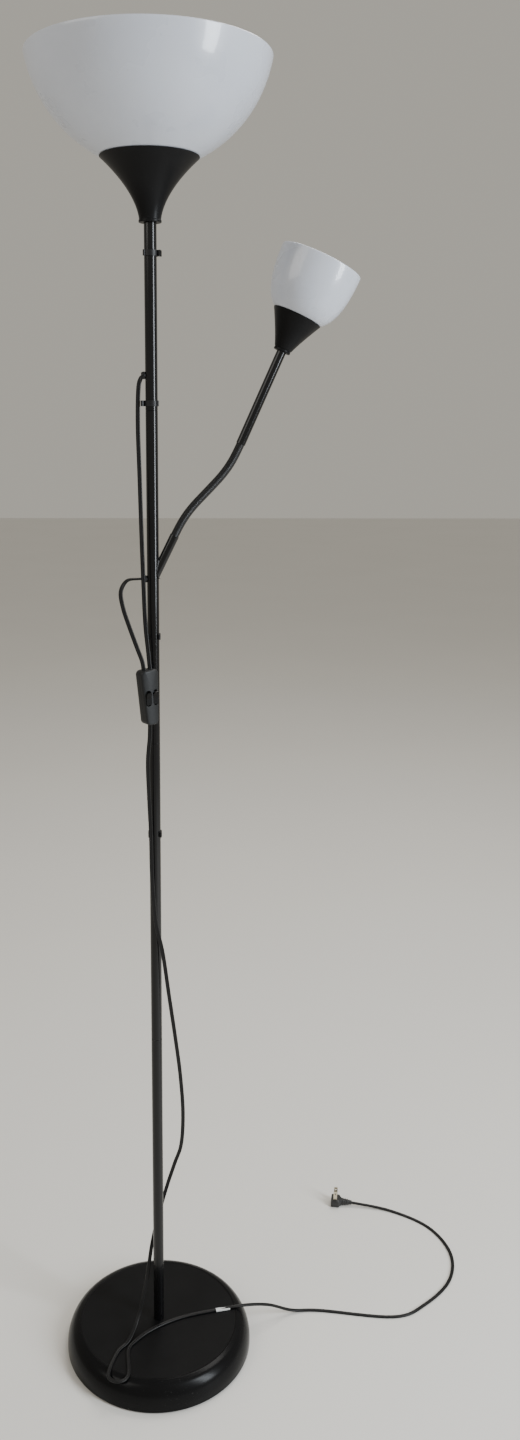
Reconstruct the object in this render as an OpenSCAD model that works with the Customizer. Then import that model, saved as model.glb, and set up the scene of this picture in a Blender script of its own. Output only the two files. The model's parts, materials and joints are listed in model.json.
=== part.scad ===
// Torchiere floor lamp with a gooseneck reading lamp.
// The origin is the centre of the base's underside, +Z is up, +X is the side of the reading lamp
// and -Y is the front, where the switch hangs. Sizes are in millimetres.

/* [Base] */
// Radius of the moulded base cover
base_r = 140; // [120:1:170]
// Height of the base above the floor
base_h = 40.6; // [34:0.2:50]
// Radius of the flat top of the base cover
plateau_r = 118; // [100:1:118]
// Wall of the base cover
cover_wall = 2.2; // [1.6:0.1:3]
// Thickness of the foam pad under the base
pad_h = 3; // [2:0.5:4]
// Thickness of the cast weight
weight_h = 26; // [20:1:27]

/* [Pole] */
// Outer radius of the pole
pole_r = 7.8; // [7:0.1:9]
// Wall of the pole and arm tubes
tube_wall = 0.9; // [0.7:0.1:1]
// Height of the joint between the first and second pole sections
joint_1_z = 517; // [450:1:600]
// Height of the joint between the second and third pole sections
joint_2_z = 960; // [850:1:1000]
// Height of the joint between the third and top pole sections
joint_3_z = 1395; // [1330:1:1410]
// Height of the pole's top end, inside the main cup
pole_top_z = 1632; // [1500:1:1800]
// Length of each threaded pole coupling
coupling_l = 36; // [24:1:50]

/* [Reading arm] */
// Height at which the arm's axis meets the pole's axis
arm_root_z = 1180; // [1170:1:1190]
// Tilt of the lower arm tube from the vertical
arm_tilt = 26; // [24:1:32]
// Length of the lower arm tube along its axis
arm_lower_l = 65; // [60:1:80]
// Outer radius of the arm tubes
arm_r = 6; // [5.6:0.1:6.6]
// Pitch of the gooseneck's links
link_l = 18.1; // [17:0.1:20]
// Outer radius of the gooseneck's links
link_r = 5.2; // [5:0.1:5.4]
// Length of the upper arm tube
arm_upper_l = 131; // [120:1:150]
// Tilt of the reading lamp from the vertical
head_tilt = 24; // [20:1:28]

/* [Lamp heads] */
// Height of the main cup
main_cup_h = 74; // [66:1:90]
// Radius of the main cup's rim
main_cup_r = 61; // [56:0.5:66]
// Radius of the main shade's rim
main_shade_r = 147; // [135:1:165]
// Height of the main shade
main_shade_h = 110; // [105:1:130]
// Height of the reading cup
small_cup_h = 46.5; // [44:0.5:52]
// Radius of the reading cup's rim
small_cup_r = 32; // [30:0.5:36]
// Radius of the reading shade's rim
small_shade_r = 52.7; // [50:0.1:60]
// Height of the reading shade
small_shade_h = 72; // [68:1:84]
// Wall of the plastic cups
cup_wall = 1.6; // [1.2:0.1:2]
// Wall of the plastic shades
shade_wall = 2.4; // [2:0.1:3]
// Radius of the main bulb's globe
main_bulb_r = 30; // [26:1:32]
// Radius of the reading bulb's globe
small_bulb_r = 22.5; // [20:0.5:24]

/* [Switch] */
// Height of the inline switch
switch_h = 74; // [70:1:84]
// Width of the inline switch at its top
switch_w = 27; // [26:0.5:32]
// Depth of the inline switch
switch_d = 18; // [18:0.5:22]
// Wall of the switch shells
switch_wall = 1.6; // [1.2:0.1:1.8]
// Width of each rocker
rocker_w = 7.6; // [7:0.1:7.8]
// Tilt of each rocker from its middle position
rocker_tilt = 9; // [6:1:11]

/* [Cord and plug] */
// Radius of the cord as a round tube
cord_r = 2.5; // [2.2:0.1:2.5]
// Width of the plug's head
plug_w = 22; // [20:0.5:26]
// Depth of the plug's head
plug_d = 14; // [13:0.5:16]
// Length of the plug's blades outside its head
blade_l = 16; // [14:0.5:18]

/* [Fits] */
// Radial clearance of pins and balls that turn
running_gap = 0.06; // [0.03:0.01:0.1]
// Gap around pieces that only pass each other
free_gap = 0.4; // [0.3:0.05:0.6]

/* [Hidden] */
$fn = 64;

// Colours
black = "#16171a";
satin_black = "#1d1f22";
milk = "#cfd4dc";
steel = "#9aa0a6";
brass = "#c9a24a";

// Bores of the tubes, and the threaded parts that hold the lamp together
pole_bore = pole_r - tube_wall;
arm_bore = arm_r - tube_wall;
thread_r = 5;
wire_way = 3.2;
wire_r = 1.9;
nut_across = 19;
nut_h = 6;
washer_r = 16;
washer_h = 1.6;

// Base
cover_foot_z = 2;
skirt_z = 8;
plateau_step = 0.5;
weight_gap = 4;
weight_r = base_r - cover_wall - weight_gap;
recess_r = 24;
recess_h = 11;

// Pole and what is fixed to it
bushing_main_z = 1438;
bushing_reading_z = 1182;
bushing_neck_r = 3.4;
bushing_head_r = 4.7;
bushing_head_x = 9.6;
clip_wall = 1.7;
clip_h = 7;
clip_jaw = 100;
clip_saddle = 4.4;
// Height of each cord clip, and the direction that its cord saddle faces
clips = [[830, 90], [1106, 90], [1404, 188], [1582, 350]];

// Gooseneck: the tilt of each link from the vertical, from the arm tube upwards
link_tilts = [30, 38, 44, 44, 43, 36, 28];
ferrule_l = 9;
link_gap = 1.3;
ball_r = 4.4;
spigot_l = 12;

// Lamp heads, measured along their own axis from the bottom of the cup
cup_floor_h = 3;
main_cup_lip_r = 13.2;
small_cup_lip_r = 10;
lip_h = 3;
main_cup_z = pole_top_z - 15;
small_cup_z = arm_upper_l - 7;
holder_r = 16.6;
holder_neck_r = 9.6;
cap_r = 13.1;
cap_gap = 0.5;
holder_h = 48;
cap_l = 25;
glass_wall = 1;
ring_h = 6;
ring_r = 24;
small_ring_r = 21;

// Switch: its place, its lean and the way it faces
switch_pos = [-7, -26, 1030];
switch_turn = 35;
switch_lean = -3;
switch_taper = 4;
switch_corner = 6;
front_curve_r = 32;
rocker_x = 5.5;
rocker_sink = 3.6;
rocker_y = rocker_sink - switch_d / 2;
rocker_end_r = 9.67;
stub_r = 1;
bearing_t = 1.2;
rocker_end_gap = 1;
entry_x = 5;
screw_zs = [22, -21];
screw_r = 1.4;
screw_head_r = 2.6;
screw_head_h = 1.6;
screw_sink = 0.2;
boss_r = 3;

// Plug: its place on the floor and its direction
plug_pos = [350, 293];
plug_turn = 167;
relief_l = 20;
plug_l = 17;
blade_w = 6.3;
blade_t = 1.5;
blade_pitch = 12.7;
blade_root = 7;

// Routes of the cords and wires
cord_main_route = [
    [-9, 0, 1438], [-13.5, -0.5, 1434], [-16.5, -1.5, 1420], [-17.5, -3, 1376], [-16, -6, 1314],
    [-14.5, -12, 1250], [-12.5, -14, 1180], [-10.5, -15, 1125], [-7, -20, 1088], [-4.5, -24, 1059]
];
cord_reading_route = [
    [-9, 0, 1182], [-20, -1, 1182], [-34, -4, 1180], [-42, -8, 1166], [-39, -13, 1145],
    [-31, -19, 1121], [-21, -25.5, 1094], [-14.5, -29, 1076], [-12.5, -30, 1058]
];
cord_mains_route = [
    [-5.4, -25, 1002], [-6, -25, 975], [-8.8, -22, 938], [-7.5, -16, 882], [-5.6, -13.5, 830],
    [-4.7, -13, 772], [0, -12.5, 704], [9.5, -12, 655], [18, -10, 588], [26.5, -8, 522],
    [33.5, -4, 460], [37.5, 0, 395], [35, 6, 338], [25, 12.5, 300], [13, 15.5, 258],
    [0, 15, 208], [-10, 11, 162], [-19, 1, 104], [-31, -18, 60], [-45, -47, 44.5],
    [-62, -68, 43.2], [-74, -109, 43.2], [-60, -122, 43.2], [-45, -110.5, 43.2], [-46, -66, 43.2],
    [-34, -46, 43.2], [-6, -23, 43.2], [35, -4, 43.2], [82, 7, 43.2], [131, 15.5, 43.2],
    [172, 29, 29], [212, 42, 5.6], [258, 43, 2.6], [372, 24, 2.6], [427, 47, 2.6],
    [480, 98, 2.6], [498, 162, 2.6], [475, 228, 2.6], [416, 274, 3.4], [349, 293.2, 7]
];
tag_at = [99, 9.3, 43.2];
tag_turn = 9.5;
tag_gap = 0.25;
tag_wall = 0.3;
tag_l = 22;
wire_main_route = [
    [-6.5, 0, 1438], [-3, 0, 1440], [-0.5, 0, 1447], [0, 0, 1460], [0, 0, 1520],
    [0, 0, pole_top_z + 5]
];

// Points on an arc about c from angle a to angle b, with n steps
function arc(c, rx, ry, a, b, n) =
    [for (i = [0:n]) c + [rx * cos(a + (b - a) * i / n), ry * sin(a + (b - a) * i / n)]];

// Points on a curve from a to c that bends towards b, with n steps
function bend(a, b, c, n) =
    [for (i = [0:n]) let (t = i / n) (1 - t) * (1 - t) * a + 2 * t * (1 - t) * b + t * t * c];

// Rotation about +Y that turns +Z towards +X
function lean(v, a) = [v[0] * cos(a) + v[2] * sin(a), v[1], v[2] * cos(a) - v[0] * sin(a)];

function unit(v) = v / norm(v);
function heading(p, i) = unit(p[min(i + 1, len(p) - 1)] - p[max(i - 1, 0)]);
function across(p, i) =
    i == 0
        ? unit(cross(heading(p, 0), [0.3, 1, 0.2]))
        : let (s = across(p, i - 1), h = heading(p, i)) unit(s - (s * h) * h);

// A smooth route through hand-set points, with n steps between neighbours
function smooth(p, n) = [
    for (i = [0:len(p) - 2]) for (k = [0:n - 1])
        let (
            a = p[max(i - 1, 0)], b = p[i], c = p[i + 1], d = p[min(i + 2, len(p) - 1)], t = k / n
        )
        0.5 * (2 * b + (c - a) * t + (2 * a - 5 * b + 4 * c - d) * t * t
            + (3 * b - a - 3 * c + d) * t * t * t),
    p[len(p) - 1]
];

// A round tube of radius r along the points of route p
module tube(p, r, sides = 8) {
    last = (len(p) - 1) * sides;
    points = [
        for (i = [0:len(p) - 1])
            let (h = heading(p, i), s = across(p, i), u = cross(h, s))
            for (k = [0:sides - 1]) p[i] + r * (cos(360 * k / sides) * s + sin(360 * k / sides) * u)
    ];
    sides_faces = [
        for (i = [0:len(p) - 2]) for (k = [0:sides - 1])
            let (a = i * sides + k, b = i * sides + (k + 1) % sides)
            for (f = [[a, b, b + sides], [a, b + sides, a + sides]]) f
    ];
    start_cap = [for (k = [1:sides - 2]) [0, k + 1, k]];
    end_cap = [for (k = [1:sides - 2]) [last, last + k, last + k + 1]];
    polyhedron(points = points, faces = concat([for (f = sides_faces) [f[0], f[2], f[1]]],
        [for (f = start_cap) [f[0], f[2], f[1]]], [for (f = end_cap) [f[0], f[2], f[1]]]));
}

// A straight pipe along +Z
module pipe(r, bore, h) {
    difference() {
        cylinder(r = r, h = h);
        translate([0, 0, -1]) cylinder(r = bore, h = h + 2);
    }
}

// ---- Base ----

shoulder_w = base_r - plateau_r;
shoulder_h = base_h - skirt_z;
shoulder_inner_h = shoulder_h - plateau_step - cover_wall;

// Inside radius of the cover at height z above its skirt
function cover_inner_r(z) =
    plateau_r + (shoulder_w - cover_wall) * sqrt(1 - pow(max(0, z - skirt_z) / shoulder_inner_h, 2));

module base_pad() {
    color("#2a2a2c") cylinder(r = weight_r, h = pad_h);
}

module base_weight() {
    color("#6f6e6a") difference() {
        rotate_extrude($fn = 128) polygon(concat(
            [[0, pad_h], [weight_r, pad_h]],
            [for (i = [0:6]) let (z = pad_h + weight_h * (0.4 + 0.1 * i))
                [min(weight_r, cover_inner_r(z) - weight_gap), z]],
            [[0, pad_h + weight_h]]
        ));
        translate([0, 0, pad_h - 1]) cylinder(r = recess_r, h = recess_h + 1);
        cylinder(r = thread_r, h = base_h);
    }
}

module base_cover() {
    outer = concat(
        [[base_r, cover_foot_z]],
        arc([plateau_r, skirt_z], shoulder_w, shoulder_h, 0, 90, 9),
        [[plateau_r - plateau_step, base_h - plateau_step], [thread_r, base_h - plateau_step]]
    );
    inner = concat(
        [[thread_r, pad_h + weight_h], [recess_r, pad_h + weight_h],
            [recess_r, base_h - plateau_step - cover_wall]],
        arc([plateau_r, skirt_z], shoulder_w - cover_wall, shoulder_inner_h, 90, 0, 9),
        [[base_r - cover_wall, cover_foot_z]]
    );
    color(black) rotate_extrude($fn = 128) polygon(concat(outer, inner));
}

module base_stud() {
    color(steel) translate([0, 0, pad_h + recess_h - washer_h - nut_h - 1])
        pipe(thread_r, wire_way, base_h + 16 - pad_h - recess_h + washer_h + nut_h + 1);
}

module base_nut() {
    color(steel) translate([0, 0, pad_h + recess_h - washer_h - nut_h]) difference() {
        cylinder(r = nut_across / 2 / cos(30), h = nut_h, $fn = 6);
        translate([0, 0, -1]) cylinder(r = thread_r, h = nut_h + 2);
    }
}

module base_washer() {
    color(steel) translate([0, 0, pad_h + recess_h - washer_h])
        pipe(washer_r, thread_r, washer_h);
}

// ---- Pole ----

module pole_section(z0, z1) {
    color(black) translate([0, 0, z0]) pipe(pole_r, pole_bore, z1 - z0);
}

module pole_foot() {
    color(steel) translate([0, 0, base_h - plateau_step]) pipe(pole_bore, thread_r, 20);
}

module pole_1() {
    pole_section(base_h - plateau_step, joint_1_z);
}

module pole_2() {
    pole_section(joint_1_z, joint_2_z);
}

module pole_3() {
    difference() {
        pole_section(joint_2_z, joint_3_z);
        translate([0, 0, bushing_reading_z]) rotate([0, -90, 0])
            cylinder(r = bushing_neck_r, h = pole_r + 2);
        translate([0, 0, arm_root_z]) rotate([0, arm_tilt, 0])
            cylinder(r = wire_way, h = 3 * pole_r);
    }
}

module pole_4() {
    difference() {
        pole_section(joint_3_z, pole_top_z);
        translate([0, 0, bushing_main_z]) rotate([0, -90, 0])
            cylinder(r = bushing_neck_r, h = pole_r + 2);
    }
}

module pole_couplings() {
    color(steel) for (z = [joint_1_z, joint_2_z, joint_3_z])
        translate([0, 0, z - coupling_l / 2]) pipe(pole_bore, wire_way, coupling_l);
}

module pole_top_bush() {
    color(steel) translate([0, 0, pole_top_z - 20]) pipe(pole_bore, thread_r, 20);
}

// A spring clip that grips the pole, with a smaller saddle for the cord on its back
module cord_clip() {
    out_r = pole_r + clip_wall;
    saddle_r = cord_r + free_gap;
    saddle_x = out_r + saddle_r + 0.4;
    difference() {
        union() {
            cylinder(r = out_r, h = clip_h);
            translate([saddle_x, 0, 0]) cylinder(r = saddle_r + 1.2, h = clip_h);
            for (s = [-1, 1]) rotate([0, 0, 180 + s * clip_jaw / 2])
                translate([out_r + 0.6, 0, 0]) cylinder(r = 1.6, h = clip_h);
        }
        translate([0, 0, -1]) cylinder(r = pole_r, h = clip_h + 2);
        translate([saddle_x, 0, -1]) cylinder(r = saddle_r, h = clip_h + 2);
        translate([saddle_x + 0.6, -saddle_r - 3, -1]) cube([8, 2 * saddle_r + 6, clip_h + 2]);
        linear_extrude(3 * clip_h, center = true) polygon([
            [0, 0],
            2 * out_r * [cos(180 - clip_jaw / 2 + 6), sin(180 - clip_jaw / 2 + 6)],
            [-3 * out_r, 0],
            2 * out_r * [cos(180 + clip_jaw / 2 - 6), sin(180 + clip_jaw / 2 - 6)]
        ]);
    }
}

module cord_clips() {
    color(black) for (c = clips)
        translate([0, 0, c[0] - clip_h / 2]) rotate([0, 0, c[1]]) cord_clip();
}

// A push-in bushing in the pole's left side, with a rounded head
module bushing(z) {
    color(black) translate([0, 0, z]) rotate([0, -90, 0]) difference() {
        union() {
            translate([0, 0, pole_bore - 1]) cylinder(r = bushing_neck_r, h = 3);
            intersection() {
                translate([0, 0, bushing_head_x]) sphere(r = bushing_head_r);
                translate([0, 0, pole_bore]) cylinder(r = bushing_head_r, h = 6);
            }
        }
        cylinder(r = cord_r, h = 20);
        rotate([0, 90, 0]) cylinder(r = pole_r, h = 40, center = true);
    }
}

module bushing_neck(z) {
    translate([0, 0, z]) rotate([0, -90, 0]) translate([0, 0, pole_bore - 1])
        pipe(bushing_neck_r, cord_r, 3);
}

module bushing_main() {
    color(black) {
        bushing(bushing_main_z);
        bushing_neck(bushing_main_z);
    }
}

module bushing_reading() {
    color(black) {
        bushing(bushing_reading_z);
        bushing_neck(bushing_reading_z);
    }
}

// ---- Reading arm ----

arm_end = [arm_lower_l * sin(arm_tilt), 0, arm_root_z + arm_lower_l * cos(arm_tilt)];
pivot_0 = arm_end + ferrule_l * [sin(arm_tilt), 0, cos(arm_tilt)];

// Place of pivot k, counted from the arm tube
function pivot(k) =
    k == 0 ? pivot_0 : pivot(k - 1) + link_l * [sin(link_tilts[k - 1]), 0, cos(link_tilts[k - 1])];

head_at = pivot(len(link_tilts)) + ferrule_l * [sin(head_tilt), 0, cos(head_tilt)];

module arm_tube_lower() {
    color(black) difference() {
        translate([0, 0, arm_root_z]) rotate([0, arm_tilt, 0]) cylinder(r = arm_r, h = arm_lower_l);
        translate([0, 0, arm_root_z]) rotate([0, arm_tilt, 0])
            cylinder(r = arm_bore, h = arm_lower_l + 1);
        translate([0, 0, arm_root_z - 60]) cylinder(r = pole_r, h = 160);
        translate([-60, -30, arm_root_z - 60]) cube([60, 60, 120]);
    }
}

module gooseneck_root() {
    color(black) translate(arm_end) rotate([0, arm_tilt, 0]) difference() {
        union() {
            translate([0, 0, -spigot_l]) cylinder(r = arm_bore, h = spigot_l);
            cylinder(r = link_r, h = ferrule_l - link_gap);
            translate([0, 0, ferrule_l]) sphere(r = ball_r);
        }
        translate([0, 0, -spigot_l - 1]) cylinder(r = wire_r + free_gap, h = 40);
    }
}

// Link k: a socket at its lower pivot and a ball at its upper one
module gooseneck_link(k) {
    color(black) translate(pivot(k)) rotate([0, link_tilts[k], 0]) difference() {
        union() {
            translate([0, 0, link_gap]) cylinder(r = link_r, h = link_l - 2 * link_gap);
            translate([0, 0, link_l]) sphere(r = ball_r);
        }
        sphere(r = ball_r + running_gap);
        cylinder(r = wire_r + free_gap, h = link_l + ball_r + 1);
    }
}

module gooseneck_end() {
    color(black) translate(head_at) rotate([0, head_tilt, 0]) difference() {
        union() {
            translate([0, 0, link_gap - ferrule_l]) cylinder(r = link_r, h = ferrule_l - link_gap);
            cylinder(r = arm_bore, h = spigot_l);
        }
        translate([0, 0, -ferrule_l]) sphere(r = ball_r + running_gap);
        translate([0, 0, -ferrule_l]) cylinder(r = wire_r + free_gap, h = 40);
    }
}

// Everything on the reading lamp's own axis, which starts at the upper arm tube's lower end
module on_head() {
    translate(head_at) rotate([0, head_tilt, 0]) children();
}

module arm_tube_upper() {
    color(black) on_head() pipe(arm_r, arm_bore, arm_upper_l);
}

// ---- Lamp heads ----

// A trumpet cup from lip radius r0 to rim radius r1 over height h; its floor sits on the tube's end
module cup(r0, r1, h, power, tube_r, floor_z) {
    steps = 12;
    outer = [for (i = [0:steps]) let (t = i / steps) [r0 + (r1 - r0) * pow(t, power), h * t]];
    floor_t = (floor_z + cup_floor_h) / h;
    inner = [
        for (i = [steps:-1:0])
            let (t = floor_t + (1 - floor_t) * i / steps)
            [r0 + (r1 - r0) * pow(t, power) - cup_wall, h * t]
    ];
    color(satin_black) rotate_extrude($fn = 96) polygon(concat(
        [[tube_r, 0], [r0 + 0.8, 0], [r0 + 0.8, lip_h], [r0 + (r1 - r0) * pow(lip_h / h, power), lip_h]],
        [for (p = outer) if (p[1] > lip_h) p],
        inner,
        [[thread_r, floor_z + cup_floor_h], [thread_r, floor_z], [tube_r, floor_z]]
    ));
}

// A lampholder standing on z = 0: a neck, a shell and a socket for the bulb's cap
module lampholder(neck_h, neck_r, h) {
    color("#e8e4da") difference() {
        union() {
            cylinder(r = neck_r, h = neck_h);
            translate([0, 0, neck_h]) cylinder(r = holder_r, h = h - neck_h);
        }
        translate([0, 0, h - cap_l - 3]) cylinder(r = cap_r + cap_gap, h = cap_l + 4);
        translate([0, 0, -1]) cylinder(r = thread_r, h = 9);
        cylinder(r = wire_r + 0.2, h = h);
    }
}

// The spring tongue at the bottom of the socket
module contact(h) {
    color(brass) translate([-4, -2, h - cap_l - 3]) difference() {
        cube([8, 4, 3]);
        translate([-1, -1, 0.6]) cube([6, 6, 1.8]);
    }
}

// A ring that screws on the lampholder and holds the shade down
module shade_ring(r) {
    color(satin_black) difference() {
        union() {
            cylinder(r = r, h = 2.4);
            cylinder(r = holder_r + 2.6, h = ring_h);
            for (a = [0:30:330]) rotate([0, 0, a]) translate([holder_r + 2.4, 0, 0])
                cylinder(r = 1.1, h = ring_h, $fn = 24);
        }
        translate([0, 0, -1]) cylinder(r = holder_r, h = ring_h + 2);
    }
}

// An open shade: a floor at z = 0, then a wall that curves up to the rim
module shade(foot_r, rim_r, h, knee) {
    wall = shade_wall;
    color(milk) rotate_extrude($fn = 128) polygon(concat(
        [[holder_r + 0.3, 0]],
        bend([foot_r, 0], knee, [rim_r, h - wall / 2], 14),
        arc([rim_r - wall / 2, h - wall / 2], wall / 2, wall / 2, 30, 150, 4),
        bend([rim_r - wall, h - wall / 2], knee + [-0.8, 1.1] * wall, [foot_r - 1.2, wall], 14),
        [[holder_r + 0.3, wall]]
    ));
}

// The outside of a lamp bulb's glass, or its hollow when inset is the glass
module bulb_form(globe_r, body_h, inset) {
    translate([0, 0, cap_l - inset])
        cylinder(r1 = cap_r - inset, r2 = globe_r * 0.84 - inset, h = body_h + inset);
    translate([0, 0, cap_l + body_h + globe_r * 0.5]) sphere(r = globe_r - inset);
}

// A lamp bulb's glass, whose cap starts at z = 0: a tapered body and a round globe
module bulb(globe_r, body_h) {
    color("#f2f1ec") difference() {
        bulb_form(globe_r, body_h, 0);
        bulb_form(globe_r, body_h, glass_wall);
    }
}

module bulb_cap() {
    color(steel) {
        translate([0, 0, 3]) cylinder(r = cap_r, h = cap_l - 3);
        cylinder(r1 = 4.6, r2 = 8, h = 3);
    }
}

// A threaded tube across the end of a pole or arm tube at z = 0
module nipple() {
    color(steel) translate([0, 0, -12]) pipe(thread_r, wire_way, 22);
}

module on_main() {
    translate([0, 0, main_cup_z]) children();
}

main_floor_z = pole_top_z - main_cup_z;
small_floor_z = arm_upper_l - small_cup_z;
main_holder_z = main_floor_z + cup_floor_h;
small_holder_z = small_floor_z + cup_floor_h;
main_holder_h = main_cup_h + shade_wall + ring_h + 2 - main_holder_z;
small_holder_h = small_cup_h + shade_wall + ring_h + 2 - small_holder_z;

module cup_main() {
    on_main() cup(main_cup_lip_r, main_cup_r, main_cup_h, 1.75, pole_r, main_floor_z);
}

module nipple_main() {
    on_main() translate([0, 0, main_floor_z]) nipple();
}

module lampholder_main() {
    on_main() translate([0, 0, main_holder_z]) lampholder(21, holder_neck_r, main_holder_h);
}

module contact_main() {
    on_main() translate([0, 0, main_holder_z]) contact(main_holder_h);
}

module shade_ring_main() {
    on_main() translate([0, 0, main_cup_h + shade_wall]) shade_ring(ring_r);
}

module shade_main() {
    on_main() translate([0, 0, main_cup_h])
        shade(main_cup_r - 1.2, main_shade_r, main_shade_h, [main_shade_r - 15, main_shade_h / 3]);
}

module bulb_main() {
    on_main() translate([0, 0, main_holder_z + main_holder_h - cap_l]) bulb(main_bulb_r, 26);
}

module bulb_cap_main() {
    on_main() translate([0, 0, main_holder_z + main_holder_h - cap_l]) bulb_cap();
}

module on_small_cup() {
    on_head() translate([0, 0, small_cup_z]) children();
}

module cup_reading() {
    on_small_cup() cup(small_cup_lip_r, small_cup_r, small_cup_h, 1.15, arm_r, small_floor_z);
}

module nipple_reading() {
    on_small_cup() translate([0, 0, small_floor_z]) nipple();
}

module lampholder_reading() {
    on_small_cup() translate([0, 0, small_holder_z]) lampholder(12, holder_neck_r - 1, small_holder_h);
}

module contact_reading() {
    on_small_cup() translate([0, 0, small_holder_z]) contact(small_holder_h);
}

module shade_ring_reading() {
    on_small_cup() translate([0, 0, small_cup_h + shade_wall]) shade_ring(small_ring_r);
}

module shade_reading() {
    on_small_cup() translate([0, 0, small_cup_h])
        shade(small_cup_r - 1, small_shade_r, small_shade_h, [small_shade_r, small_shade_h / 5]);
}

module bulb_reading() {
    on_small_cup() translate([0, 0, small_holder_z + small_holder_h - cap_l])
        bulb(small_bulb_r, 18);
}

module bulb_cap_reading() {
    on_small_cup() translate([0, 0, small_holder_z + small_holder_h - cap_l]) bulb_cap();
}

// ---- Inline switch, in its own frame: X across, -Y to the front, Z up ----

module on_switch() {
    translate(switch_pos) rotate([0, 0, switch_turn]) rotate([0, switch_lean, 0]) children();
}

// The outside of the switch, or its hollow when inset is the wall
module switch_form(inset) {
    top_x = switch_w / 2 - switch_corner;
    low_x = top_x - switch_taper;
    end_z = switch_h / 2 - switch_corner;
    intersection() {
        translate([0, switch_d / 2 - inset, 0]) rotate([90, 0, 0])
            linear_extrude(switch_d - 2 * inset) hull() {
                for (s = [-1, 1]) {
                    translate([s * top_x, end_z]) circle(r = switch_corner - inset, $fn = 32);
                    translate([s * low_x, -end_z]) circle(r = switch_corner - inset, $fn = 32);
                }
            }
        translate([0, front_curve_r - switch_d / 2, 0])
            cylinder(r = front_curve_r - inset, h = 2 * switch_h, center = true, $fn = 96);
    }
}

module cord_entries() {
    for (s = [-1, 1]) translate([s * entry_x, 0, switch_h / 2 - 6])
        cylinder(r = cord_r + 0.1, h = 12);
    translate([0, 0, -switch_h / 2 - 6]) cylinder(r = cord_r + 0.1, h = 12);
}

// A slot with round ends, along Y
module rocker_slot(w, half_l, h) {
    rotate([90, 0, 0]) translate([0, 0, -h / 2]) linear_extrude(h) union() {
        square([w, 2 * (half_l - w / 2)], center = true);
        for (s = [-1, 1]) translate([0, s * (half_l - w / 2)]) circle(r = w / 2);
    }
}

module switch_front() {
    bearing_y = rocker_y - 2.2;
    outer_x = rocker_x + rocker_w / 2 + free_gap;
    color(satin_black) on_switch() difference() {
        union() {
            difference() {
                switch_form(0);
                switch_form(switch_wall);
            }
            intersection() {
                switch_form(switch_wall / 2);
                union() {
                    translate([-bearing_t, bearing_y, -4]) cube([2 * bearing_t, -bearing_y, 8]);
                    for (s = [-1, 1]) translate([s < 0 ? -outer_x - 3 : outer_x, bearing_y, -4])
                        cube([3, -bearing_y, 8]);
                    for (z = screw_zs) translate([0, 0, z]) rotate([90, 0, 0])
                        cylinder(r = boss_r, h = switch_d);
                }
            }
        }
        translate([-50, 0, -100]) cube([100, 100, 200]);
        cord_entries();
        for (s = [-1, 1]) translate([s * rocker_x, -switch_d / 2, 0])
            rocker_slot(rocker_w + 2 * free_gap, rocker_end_r + rocker_end_gap, 12);
        translate([0, rocker_y, 0]) rotate([0, 90, 0])
            cylinder(r = stub_r + running_gap, h = 2 * (outer_x + 1.4), center = true);
        for (z = screw_zs) translate([0, 1, z]) rotate([90, 0, 0])
            cylinder(r = screw_r, h = 7);
    }
}

module switch_back() {
    color(satin_black) on_switch() difference() {
        union() {
            difference() {
                switch_form(0);
                switch_form(switch_wall);
            }
            for (z = screw_zs) translate([0, switch_d / 2 - switch_wall / 2, z]) rotate([90, 0, 0])
                cylinder(r = boss_r + 0.6, h = switch_d / 2 - switch_wall / 2);
        }
        translate([-50, -100, -100]) cube([100, 100, 200]);
        cord_entries();
        for (z = screw_zs) translate([0, switch_d, z]) rotate([90, 0, 0]) {
            cylinder(r = screw_r + free_gap, h = 2 * switch_d);
            cylinder(r = screw_head_r + 0.2, h = switch_d / 2 + screw_sink + screw_head_h);
        }
    }
}

module rocker(side) {
    half = rocker_w / 2;
    inner_stub = rocker_x - half - 0.6;
    outer_stub = 1.5;
    color(black) on_switch() translate([side * rocker_x, rocker_y, 0])
        rotate([rocker_tilt, 0, 0]) {
            intersection() {
                rotate([90, 0, 90]) linear_extrude(rocker_w, center = true) polygon([
                    [-3.4, 0], [-4.8, 8.4], [-3, 8.9], [0.5, 3.4], [2, 2.4],
                    [2, -2.4], [0.5, -3.4], [-3, -8.9], [-4.8, -8.4]
                ]);
                rocker_slot(rocker_w, rocker_end_r, 20);
            }
            translate([side > 0 ? -half - inner_stub : -half - outer_stub, 0, 0]) rotate([0, 90, 0])
                cylinder(r = stub_r, h = inner_stub + rocker_w + outer_stub);
        }
}

module rocker_main() {
    rocker(1);
}

module rocker_reading() {
    rocker(-1);
}

module switch_contacts() {
    color(brass) on_switch() for (s = [-1, 1]) for (z = [-7, 7])
        translate([s * rocker_x - 2, switch_d / 2 - switch_wall - 4, z - 3]) difference() {
            cube([4, 4, 6]);
            translate([2, 5, 3]) rotate([90, 0, 0]) cylinder(r = 1.1, h = 4, $fn = 24);
        }
}

module switch_screws() {
    slot_w = 0.6;
    slot_d = 0.9;
    color(steel) on_switch() for (z = screw_zs)
        translate([0, switch_d / 2 - screw_sink, z]) rotate([90, 0, 0]) difference() {
            union() {
                cylinder(r = screw_head_r, h = screw_head_h);
                cylinder(r = screw_r, h = switch_d / 2 + 5);
            }
            translate([-screw_head_r, -slot_w / 2, -1])
                cube([2 * screw_head_r, slot_w, slot_d + 1]);
        }
}

// ---- Cords, plug and wires ----

module cord_main() {
    color(black) tube(smooth(cord_main_route, 2), cord_r);
}

module cord_reading() {
    color(black) tube(smooth(cord_reading_route, 2), cord_r);
}

module cord_mains() {
    color(black) tube(smooth(cord_mains_route, 2), cord_r);
}

module cord_tag() {
    color("#d8d9d6") translate(tag_at) rotate([0, 90, tag_turn]) translate([0, 0, -tag_l / 2])
        pipe(cord_r + tag_gap + tag_wall, cord_r + tag_gap, tag_l);
}

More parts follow.
